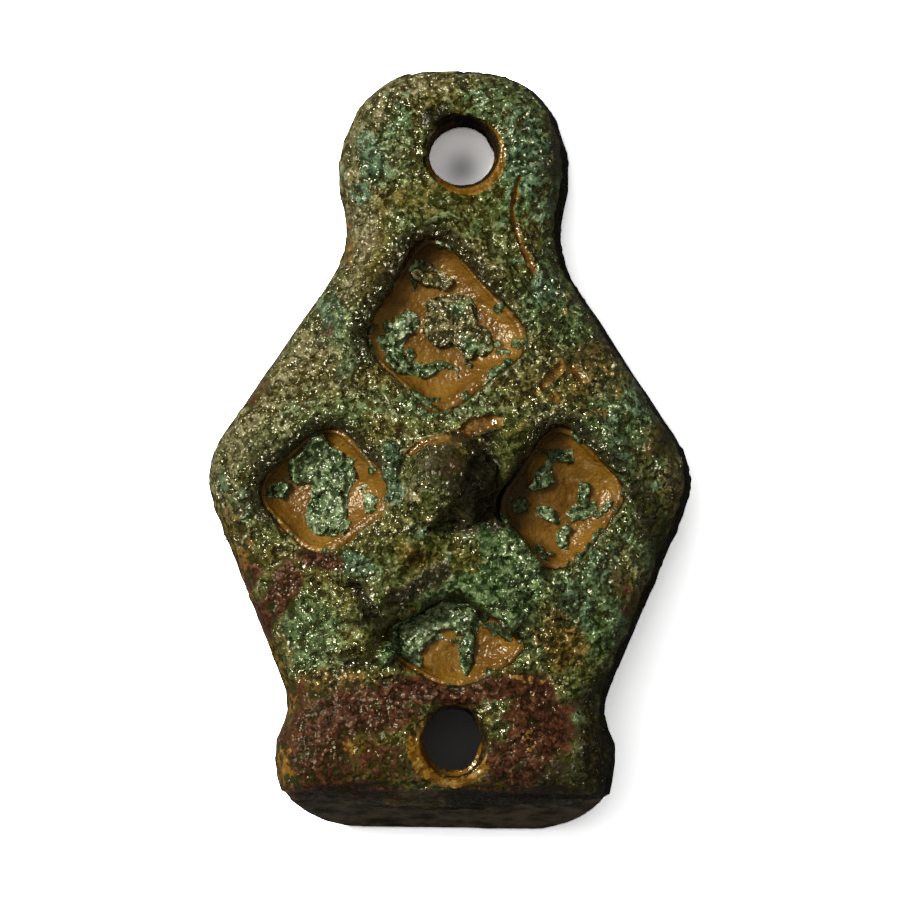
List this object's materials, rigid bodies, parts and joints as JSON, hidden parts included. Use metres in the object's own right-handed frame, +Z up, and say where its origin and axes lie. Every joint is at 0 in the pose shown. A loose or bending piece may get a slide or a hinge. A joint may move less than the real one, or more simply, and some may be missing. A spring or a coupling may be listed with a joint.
{
  "type": "stirrup mount",
  "caption": "Cast copper-alloy strap mount with pierced rounded apex, lozenge shoulders, sunk cells round a knob, and a rear flange behind a pierced splayed foot.",
  "frame": {"origin": "on the table under the middle of the mount's bounding box, as it lies on its back, on the flange's far edge and the back of the apex", "axes": "+Y along the mount from the foot to the apex, +Z up, out of the decorated face, which leans 6.7 degrees towards the apex; +X to the right seen from above"},
  "size_m": [0.0284, 0.0448, 0.0099],
  "materials": {
    "patina_metal": "cast copper alloy under a granular dark olive-green patina with purple-brown, ochre and pale green patches",
    "cell_fill": "hard ochre-brown mineral fill, smooth and glossy",
    "green_crust": "granular green corrosion crust, glinting"
  },
  "bodies": {
    "root": {"mount_casting": "patina_metal", "top_cell_fill": "cell_fill", "left_cell_fill": "cell_fill", "right_cell_fill": "cell_fill", "lower_cell_fill": "cell_fill", "top_cell_crust_middle": "green_crust", "top_cell_crust_hook": "green_crust", "top_cell_crust_upper": "green_crust", "left_cell_crust_sheet": "green_crust", "left_cell_crust_patch": "green_crust", "left_cell_crust_chip": "green_crust", "right_cell_crust_arc": "green_crust", "right_cell_crust_hook": "green_crust", "right_cell_crust_bar": "green_crust", "right_cell_crust_drop": "green_crust", "right_cell_crust_chip": "green_crust", "lower_cell_crust_sheet": "green_crust"}
  },
  "joints": []
}
